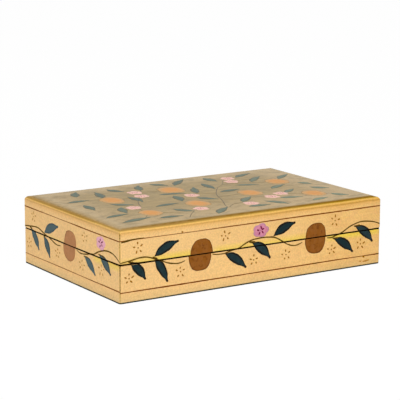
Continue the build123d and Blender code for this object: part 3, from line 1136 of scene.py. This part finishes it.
def layOn(name, flats, paint, sheet, halves=("lid", "base")):
    # cuts flat films at the seam and lays them on the box: sheet is "band" for the sides or "top"
    rims = {"lid": seamEdge("lid", girth / 2) - form["overhang"],
            "base": seamEdge("base", girth / 2) + form["overhang"]}
    for half in halves:
        bm = bmesh.new()
        for flat in flats:
            bm.from_mesh(flat)
        if sheet == "band":
            everything = bm.verts[:] + bm.edges[:] + bm.faces[:]
            bmesh.ops.bisect_plane(bm, geom=everything, plane_co=(0, rims[half], 0), plane_no=(0, 1, 0),
                                   clear_inner=half == "lid", clear_outer=half == "base")
            cutEdges = [edge for edge in bm.edges if edge.is_boundary]
            if cutEdges:
                bmesh.ops.holes_fill(bm, edges=cutEdges, sides=0)
        if not bm.faces:
            bm.free()
            continue
        for vert in bm.verts:
            if sheet == "band":
                spotFlat, way = bandSpot(vert.co.x)
                near = max(0, 1 - abs(vert.co.y - rims[half]) / form["gapeBlend"])
                drop = seamEdge(half, vert.co.x) - seamEdge(half, girth / 2)
                spot = Vector((spotFlat.x, spotFlat.y, vert.co.y + drop * near))
                facing = Vector((way.x, way.y, 0))
            else:
                spot = Vector((vert.co.x - boxWidth / 2, vert.co.y - boxDepth / 2, boxTop))
                facing = Vector((0, 0, 1))
            vert.co = (spot + facing * (vert.co.z - groundDip(spot, half))) * mm
        for face in bm.faces:
            face.smooth = True
            face.material_index = 0
        turnOutward(bm)
        mesh = bpy.data.meshes.new(half + name)
        bm.to_mesh(mesh)
        bm.free()
        mesh.materials.append(paintMaterials[paint])
        piece = newObject(half + name, mesh)
        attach(piece, half)


# the painted ornament of a long and a short side, from the left end, up from the table, in mm
sideMotif = {
    "long": {
        "vines": [
            [(-0.1, 20.6), (2.0, 21.1), (6, 21.6), (10, 22.3), (13.6, 22.6), (16.2, 22.3), (18.2, 21.7),
             (20.2, 20.9), (22.4, 20.1), (24.8, 19.2), (28, 17.9), (31.2, 17.1), (35.2, 16.8),
             (38.6, 17.6)],
            [(55, 19.0), (57.2, 18.5), (60, 18.3), (62.8, 18.4), (65.2, 19.0), (68, 19.5), (71.6, 20.2),
             (74.4, 21.6), (77.6, 22.9), (80, 23.5), (83.2, 23.8), (87.2, 23.9), (90.4, 23.7), (93.6, 23.2),
             (96, 22.2), (98, 21), (100, 19.8), (102.4, 18.4), (105.2, 17.4), (108, 17.1), (110.3, 17.6),
             (112.2, 18.3)],
            [(128.4, 18.7), (131.6, 18.5), (134.6, 19.3), (138, 20.3), (140.8, 21.7), (143.6, 23.1),
             (146.3, 24), (149.2, 24.7), (152.2, 25), (156, 24.7), (160, 24), (163, 23), (165, 22.1)],
        ],
        "handles": [
            # thick starts of the leaves that hang from a vine
            [(4.9, 21.2), (6.4, 20.7), (8, 20.3)], [(19.2, 22), (20.3, 21.3), (22, 20.4)],
            [(77.6, 22.6), (79.2, 22.3), (81.8, 21.9)], [(132.2, 17.9), (133.6, 17.7), (136, 17.5)],
            [(146.4, 23.1), (148, 22.9), (151, 22.8)],
        ],
        "leaves": [
            # start, tip, bow to the left of the way it points, width
            ((6.2, 20.8), (15.2, 10.9), 0.8, 5.0), ((20.4, 21.2), (28.1, 7.9), 0.7, 4.9),
            ((20.3, 22.1), (34.7, 28.6), 0.9, 5.0), ((62.8, 18.3), (76.2, 9.1), 0.9, 5.0),
            ((79.6, 22.1), (91.5, 12.2), 1.0, 5.4), ((93.3, 23.9), (107.4, 29.7), 0.9, 5.2),
            ((133, 17.8), (146.2, 8.8), 1.2, 5.0), ((147.5, 22.9), (159.6, 13), 1.3, 5.3),
        ],
        "fruit": [(48.1, 19.4, 13.7, 16.6, 1.0), (120.8, 19.5, 13.6, 16.8, 0.3)],
        "flowers": [(85.1, 27.9, 10.4, 7.7)],
        "stars": [(10.8, 27.7), (5.6, 12.6), (35.8, 12.2), (63, 27.6), (80.9, 12.6), (101.6, 12.8),
                  (133.7, 27.6), (131.7, 11.9), (151.4, 12.6)],
    },
    "short": {
        "vines": [
            [(0.5, 20.9), (1.9, 21.2), (7.6, 21.9), (11.3, 22.4), (15.1, 22.6), (18.1, 22.3), (20.8, 21.5),
             (25.5, 20.3), (28, 19.8), (30.2, 19.2), (32.9, 18.4), (35.9, 17.6), (38.2, 17.3),
             (41.6, 17.6)],
            [(59.4, 19.1), (61.7, 18.3), (65.1, 18.1), (68.1, 18.5), (71.2, 19.1), (74.2, 19.8),
             (78.2, 20.5), (80.4, 21.5), (83.3, 22.8), (86.3, 23.8), (89.7, 24.6), (93.5, 24.9),
             (96.5, 24.7), (99.1, 24.1), (101.4, 23.1), (104.6, 21.2)],
        ],
        "handles": [
            [(6.4, 21.6), (8, 21.1), (9.6, 20.5)], [(22.3, 19.4), (23, 19.2), (24, 18.4)],
            [(82.6, 21.5), (85, 21.2), (89, 20.6)], [(67.2, 17.3), (69, 17.1), (71.4, 16.9)],
        ],
        "leaves": [
            # start, tip, bow to the left of the way it points, width
            ((8, 20.7), (17, 10.2), 0.9, 5.0), ((22.7, 19.2), (29.5, 8.5), 0.8, 5.1),
            ((23.8, 21.4), (39.5, 27.4), 0.9, 5.2), ((68, 17.4), (79.3, 9.4), 0.8, 4.8),
            ((83.8, 21.3), (95.1, 12.8), 0.9, 5.2),
        ],
        "fruit": [(52.2, 19.7, 13.2, 16.4, 1.3)],
        "flowers": [(85.3, 27.6, 9.6, 7.4)],
        "stars": [(11.5, 27.8), (5.6, 12.2), (38.1, 13.0), (68.6, 27.6), (65, 12.0), (85.6, 13.6)],
    },
}
# how each side is painted: motif, how far its places drift from the motif in mm, tone of leaves, of
# fruit and of flowers, and the paint of the stars
# the left end's lighter leaves, fruit, flowers and stars are painted light
sidePainting = [("long", 0.0, 0.0, 0.0, 0.0, "starOchre"), ("short", 4.0, 0.1, 0.1, 0.1, "starOchre"),
                ("long", 5.0, 0.05, 0.1, 0.1, "starOchre"), ("short", 0.0, 0.72, 0.85, 0.95, "fadedOchre")]

# stray touches of the brush on the front, and where ink has run along its rules: places and widths
touches = {
    "starOchre": [[(153.0, 5.4, 1.0), (154.4, 4.7, 1.0)], [(36.2, 32.9, 1.0), (37.4, 32.7, 1.0)]],
    "fadedOchre": [[(150.7, 2.9, 1.0), (152.3, 2.7, 1.0)],
                   [(153.2, 2.4, 1.0), (155.4, 2.6, 1.3), (157.7, 2.9, 1.0)]],
    "inkLine": [[(0.9, 31.4, 1.0), (3.4, 31.8, 1.3), (6.2, 32.15, 1.1), (10.0, 32.4, 0.8),
                 (14.5, 32.5, 0.4)],
                [(119.2, 5.5, 0.6), (121.4, 5.6, 0.8), (123.9, 5.6, 0.6)],
                [(162.2, 5.6, 0.7), (163.9, 5.6, 0.8)]],
}

sideOrnament = {
    # what goes into the trees and patches above for each kind of stroke; lengths in mm
    "vines": {"Width": 0.76, "Spacing": 0.5, "Sides": 8, "Wander": 0.25, "Paint": "inkLine"},
    "handles": {"Width": 1.1, "Spacing": 0.4, "Sides": 8, "Paint": "inkLine"},
    "handleTaper": (0.7, 1.0, 1.5),
    "vineTone": 0.4,        # how much of the leaves' lighter tone the vines and handles share; on the left end it is painted light
    "leaves": {"Spacing": 0.3, "Sides": 16, "Wander": 0.08, "Tone Spread": 0.1, "Paint": "leafGouache"},
    "fruit": {"squareness": 2.5},
    "flowers": {"lobes": 5, "notch": 0.2, "turn": 0.05},
    "stamens": {"Arms": 5, "Reach": 1.6, "Middle": 0.5, "Dab Length": 1.9, "Dab Width": 1.0,
                "Lift": 0.085, "Seed": 5, "Paint": "magentaGouache"},
    "touches": {"Width": 0.8, "Spacing": 0.4, "Sides": 8, "Lift": 0.075, "Seed": 3},
    # the hand's drift: mm along and up over which it changes, how far apart the sides' and the upward
    # noise lie, and how much of it goes upwards
    "drift": (26, 40, 7.3, 50, 0.35),
}


def drifted(side, x, z):
    # the place on the band of a point of a side's motif
    along, up, sideRow, upRow, upShare = sideOrnament["drift"]
    ease = math.sin(math.pi * max(0, min(1, x / sideLength[side])))
    reach = sidePainting[side][1]
    spot = Vector((x / along, z / up, side * sideRow))
    u = x + reach * ease * noise.noise(spot)
    return sideStart[side] + u, z + upShare * reach * ease * noise.noise(spot + Vector((0, 0, upRow)))


def bowed(start, tip, bow, width):
    # four points along a leaf, bent to the left of the way it points
    start, tip = Vector(start), Vector(tip)
    run = tip - start
    left = Vector((-run.y, run.x)).normalized()
    spots = [start + run * t + left * bow * 4 * t * (1 - t) for t in (0, 0.33, 0.67, 1)]
    return [(spot.x, spot.y, width) for spot in spots]


def paintSides(settings):
    leaves, vines, stamens, lidFruit, baseFruit, flowers = [], [], [], [], [], []
    dabs = {"starOchre": [], "fadedOchre": []}
    for side, (name, _, leafTone, fruitTone, flowerTone, starPaint) in enumerate(sidePainting):
        motif = sideMotif[name]
        vineTone = leafTone * settings["vineTone"]
        lines = [[(*drifted(side, x, z), 1.0) for x, z in vine] for vine in motif["vines"]]
        vines.append(strokes(lineTree, lines, Seed=side, Tone=vineTone, **settings["vines"]))
        lines = [[(*drifted(side, x, z), width) for (x, z), width in zip(handle, settings["handleTaper"])]
                 for handle in motif["handles"]]
        vines.append(strokes(lineTree, lines, Seed=side, Tone=vineTone, **settings["handles"]))
        lines = []
        for start, tip, bow, width in motif["leaves"]:
            lines.append(bowed(drifted(side, *start), drifted(side, *tip), bow, width))
        leaves.append(strokes(leafTree, lines, Seed=10 + side, Tone=leafTone, **settings["leaves"]))
        dabs[starPaint].append(stars([drifted(side, *spot) for spot in motif["stars"]], Seed=20 + side,
                                     Paint=starPaint))
        for number, (x, z, wide, high, slip) in enumerate(motif["fruit"]):
            s, z = drifted(side, x, z)
            shape = {"across": wide, "high": high, "seed": side * 5 + number, "tone": fruitTone}
            lidFruit.append(patch((s + slip / 2, z), **shape, **settings["fruit"]))
            baseFruit.append(patch((s - slip / 2, z), **shape, **settings["fruit"]))
        for x, z, wide, high in motif["flowers"]:
            s, z = drifted(side, x, z)
            flowers.append(patch((s, z), wide, high, seed=side + 30, tone=flowerTone,
                                 **settings["flowers"]))
            stamens.append((s, z))
    for number, (paint, lines) in enumerate(touches.items()):
        stray = strokes(lineTree, lines, Paint=paint, **settings["touches"])
        layOn("Touches" + str(number), [stray], paint, "band")
    layOn("Vines", vines, "inkLine", "band")
    layOn("Leaves", leaves, "leafGouache", "band")
    for paint, flats in dabs.items():
        layOn("StarDabs" + paint[:1].upper(), flats, paint, "band")
    layOn("Fruit", lidFruit, "russetGouache", "band", ["lid"])
    layOn("Fruit", baseFruit, "russetGouache", "band", ["base"])
    layOn("SideFlowers", flowers, "orchidGouache", "band", ["lid"])
    layOn("FlowerStamens", [stars(stamens, **settings["stamens"])], "magentaGouache", "band", ["lid"])


paintSides(sideOrnament)
print("sides painted")

ruleTree = strokeTree("ruleStroke", [(0.0, 1.0), (1.0, 1.0)])
ruleSettings = {
    "stroke": {"Width": 0.56, "Spacing": 0.9, "Sides": 8, "Wander": 0.15, "Paint": "ruleLine"},
    "drop": 0.12,           # mm, how far the hand strays up and down
    "swell": 0.15,          # share by which the line's width varies
    "stray": (30, 3.7, 5.1),     # mm over which both change; the noise's rows for the sides and the lines
    "swellStray": (1.7, 20),     # how much finer the swelling is, and its own row
    "step": 4.0,            # mm between points of the line
    "overrun": 0.2,         # mm by which it runs past each corner
    # for a side's upper line (0) or its lower one (1): places along it and how wide the line is there
    "pressure": {
        (0, 0): [(0, 1.0), (12, 0.8), (45, 0.6), (60, 0.9), (80, 1.1), (120, 1.2), (165, 1.25)],
        (0, 1): [(0, 1.0), (20, 1.2), (30, 1.4), (44, 1.3), (60, 1.15), (80, 1.0), (110, 1.2), (140, 0.9),
                 (154, 0.9), (165, 1.3)],
        (3, 0): [(0, 1.3), (18, 1.0), (30, 0.55), (48, 0.6), (60, 1.1), (104, 1.1)],
        (3, 1): [(0, 0.72), (76, 0.72), (90, 1.0), (104, 1.4)],
    },
    "tones": [(0.0, 0.0), (0.1, 0.1), (0.0, 0.1), (0.2, 0.3)],     # of each side's upper and lower line; the left end's lighter lines are painted light
    # heights of each side's two lines at their starts and ends
    "levels": [((32.1, 32.5), (5.6, 5.6)), ((32.4, 32.3), (5.4, 5.4)),
               ((32.3, 32.5), (5.4, 5.3)), ((32.05, 31.9), (5.8, 6.2))],
}


def paintRules(settings):
    # thin lines along the top and the foot of each side, drawn from corner to corner
    flats = []
    reach, sideRow, lineRow = settings["stray"]
    finer, swellRow = settings["swellStray"]
    overrun = settings["overrun"]
    for side, levels in enumerate(settings["levels"]):
        length = sideLength[side]
        count = round(length / settings["step"])
        for number, (first, last) in enumerate(levels):
            profile = settings["pressure"].get((side, number), [(0, 1.0)])
            line = []
            for i in range(count + 1):
                share = i / count
                key = Vector((share * length / reach, side * sideRow, number * lineRow))
                level = first + (last - first) * share + settings["drop"] * noise.noise(key)
                width = readProfile(profile, share * length)
                width += settings["swell"] * noise.noise(key * finer + Vector((0, 0, swellRow)))
                along = sideStart[side] - overrun + (length + 2 * overrun) * share
                line.append((along, level, width))
            flats.append(strokes(ruleTree, [line], Seed=side * 2 + number,
                                 Tone=settings["tones"][side][number], **settings["stroke"]))
    layOn("Rules", flats, "ruleLine", "band")


paintRules(ruleSettings)
print("rules drawn")

# the top, from its front left corner, in mm
topMotif = {
    "oranges": [(35.9, 29.6, 11.8, 14.4), (34.8, 68.2, 12.8, 16.8), (76.7, 76, 15, 17),
                (70, 37.6, 12.9, 15.8), (110, 46.8, 12.9, 15.7), (142, 65.6, 13.8, 15.4),
                (139.8, 27.4, 12.6, 15.6)],
    "blossoms": [(55.8, 79.8), (54, 69.6), (34.8, 45.2), (78.9, 57.4), (63.9, 25.2), (94.2, 22.6),
                 (122.2, 87.8), (119.3, 79.1), (114.2, 31.6), (123.4, 36.2)],
    "leaves": [
        ((22.5, 85.3), (28.5, 97.5), 0.8, 5.2), ((33.3, 76), (37.2, 91.8), -0.7, 5.2),
        ((46.8, 95.5), (52, 84.6), -0.7, 5.2), ((62.2, 83.2), (67.5, 96.2), 0.8, 5.0),
        ((74.4, 96), (81.8, 87.5), 0.6, 5.2), ((85.3, 85.6), (98.8, 98.2), 0.9, 5.0),
        ((110.9, 96.2), (112.3, 83.4), 0.0, 5.8), ((128, 87.7), (142.6, 94.3), 1.0, 4.6),
        ((128.3, 72), (142, 83.8), 0.8, 4.6), ((146.8, 71.6), (159.6, 80.6), 0.7, 4.4),
        ((10.5, 74), (24.4, 74.7), 0.6, 4.4), ((15.4, 64.8), (14.2, 50), 0.2, 5.0),
        ((28.6, 59.4), (38.8, 52), -0.7, 5.0), ((46.3, 71.8), (46.8, 55.9), 0.9, 5.2),
        ((63.6, 67.6), (78.6, 63.6), 0.9, 4.4), ((84.2, 60.4), (91.6, 76), 0.4, 4.8),
        ((101.4, 83), (99.4, 65.4), -0.2, 5.0), ((114.6, 68.7), (127.3, 62.9), 0.7, 4.4),
        ((96.8, 56.7), (111, 58.5), 0.3, 4.9), ((126.6, 49.7), (140.3, 56.5), 0.7, 4.6),
        ((149.8, 57.7), (154.2, 49.3), 0.5, 4.6), ((69.4, 61.6), (65.8, 46.7), 0.8, 5.5),
        ((46, 41.4), (61.6, 43.4), 0.7, 4.4), ((77.8, 51.2), (85.8, 41.4), -0.7, 5.0),
        ((29.5, 49.5), (25.1, 35.5), -0.8, 5.2), ((9.8, 30.4), (24.6, 33.2), 0.8, 4.4),
        ((11.2, 16.2), (30.4, 20.9), 0.3, 4.8), ((33, 16.2), (46.8, 15), 0.7, 4.6),
        ((50.8, 31.7), (57.8, 21.1), -0.6, 5.2), ((65, 9.6), (78, 21), 0.9, 5.0),
        ((92.4, 27.6), (104.5, 37.8), 0.8, 4.9), ((88.2, 16), (101.4, 14.6), 0.7, 5.0),
        ((104, 24), (111.3, 11.3), 0.7, 4.9), ((115.5, 26.3), (128.5, 22.6), 0.7, 4.8),
        ((126.6, 36), (137, 43), 0.6, 4.4), ((148, 43.1), (155.7, 35), -0.6, 5.2),
        ((147.2, 22.6), (153, 13.4), -0.6, 5.1), ((127.4, 12), (139.5, 14.3), 0.6, 4.2),
    ],
    "mainStem": [
        [(78, 20.5), (79.6, 25.4), (83.1, 32.4), (86.7, 40.4), (89.1, 46.8), (92.7, 54.3), (98, 62),
         (103.2, 68.8)],
    ],
    "clearStems": [
        [(59.3, 78.4), (62.3, 85.3), (68.3, 96.3)], [(39.6, 45.6), (41.4, 50.9), (44.7, 57.4), (48.8, 65)],
        [(47.1, 9.3), (51.6, 15.3), (57, 21)], [(79, 20.6), (83, 24.2), (86.5, 26.4), (91.4, 26.2)],
    ],
    "stems": [
        [(103.2, 68.8), (110.2, 74.8), (117, 84.5)], [(89.1, 46.8), (96.1, 46.4), (103.1, 47)],
        [(92.7, 54.3), (87.8, 58.7), (83.5, 60.6)], [(83.1, 32.4), (79.4, 35.8), (77.4, 38.8)],
        [(86.7, 40.4), (94.1, 36.4), (105, 35.6), (112.4, 32.8)],
        [(110.2, 74.8), (123.1, 71.4), (134.8, 67.4)],
        [(124.8, 35.6), (129.6, 31.8), (133.6, 29.6)], [(35.6, 37), (34.9, 41)], [(27.6, 21), (31, 25)],
        [(50.3, 20.4), (45.5, 24.6), (42.2, 27.4)], [(50.2, 67), (45.2, 68.2), (41.8, 68.6)],
        [(59.6, 78.8), (65.3, 77.8), (69.8, 76.9)], [(123.4, 79.6), (129.4, 79.9), (134.6, 78.2)],
    ],
}

topOrnament = {
    # what goes into the trees and patches above for each kind of stroke; lengths in mm
    "leaves": {"Spacing": 0.5, "Sides": 10, "Wander": 0.10, "Paint": "topLeafGouache"},
    "paledToFrontRight": (20, 110, 0.55),     # where the leaves begin and end to pale, towards the front right
                                   # corner, and by how much
    "stems": {"Width": 0.5, "Spacing": 0.6, "Sides": 8, "Wander": 0.3, "Seed": 43, "Paint": "topInk"},
    # how far each kind of stem has sunk into the ground
    "stemTones": {"mainStem": 0.35, "clearStems": 0.5, "stems": 0.9},
    "oranges": {"squareness": 2.15, "rough": 0.13},
    "blossoms": {"across": 9.0, "high": 9.0, "lobes": 5, "notch": 0.22, "lift": 0.075, "rough": 0.12},
    "blossomTurn": 0.7,            # from one blossom to the next, in radians
    "stamens": {"Arms": 6, "Reach": 1.6, "Middle": 0.8, "Dab Length": 1.1, "Dab Width": 0.5,
                "Lift": 0.088, "Seed": 9, "Paint": "magentaGouache"},
}


def paintTop(settings):
    leaves = []
    first, last, most = settings["paledToFrontRight"]
    for number, leaf in enumerate(topMotif["leaves"]):
        x, y = leaf[0]
        leaves.append(strokes(leafTree, [bowed(*leaf)], Seed=41 + number,
                              Tone=smooth(x - y, first, last) * most, **settings["leaves"]))
    layOn("TopLeaves", leaves, "topLeafGouache", "top", ["lid"])
    stems = []
    for kind, tone in settings["stemTones"].items():
        lines = [[(x, y, 1.0) for x, y in stem] for stem in topMotif[kind]]
        stems.append(strokes(lineTree, lines, Tone=tone, **settings["stems"]))
    layOn("TopStems", stems, "topInk", "top", ["lid"])
    oranges = [patch((x, y), wide, high, seed=60 + number, **settings["oranges"])
               for number, (x, y, wide, high) in enumerate(topMotif["oranges"])]
    layOn("Oranges", oranges, "orangeGouache", "top", ["lid"])
    blossoms = [patch(spot, turn=settings["blossomTurn"] * number, seed=70 + number,
                      **settings["blossoms"])
                for number, spot in enumerate(topMotif["blossoms"])]
    layOn("Blossoms", blossoms, "pinkGouache", "top", ["lid"])
    stamens = stars(topMotif["blossoms"], **settings["stamens"])
    layOn("BlossomStamens", [stamens], "magentaGouache", "top", ["lid"])


paintTop(topOrnament)
print("top painted")

boardFinishes = {"underside_sheet": "sizedUndersidePaper", "base_floor_lining": "liningPaper",
                 "lid_lining": "liningPaper"}
for node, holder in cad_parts.items():
    finish = boardFinishes.get(node)
    if "wall" in node or "board" in node:
        finish = "rimStain"
    if "lip" in node:
        finish = "blackLacquer"
    if finish:
        holder.data.materials.clear()
        holder.data.materials.append(plainMaterials[finish])
print("boards and linings finished")
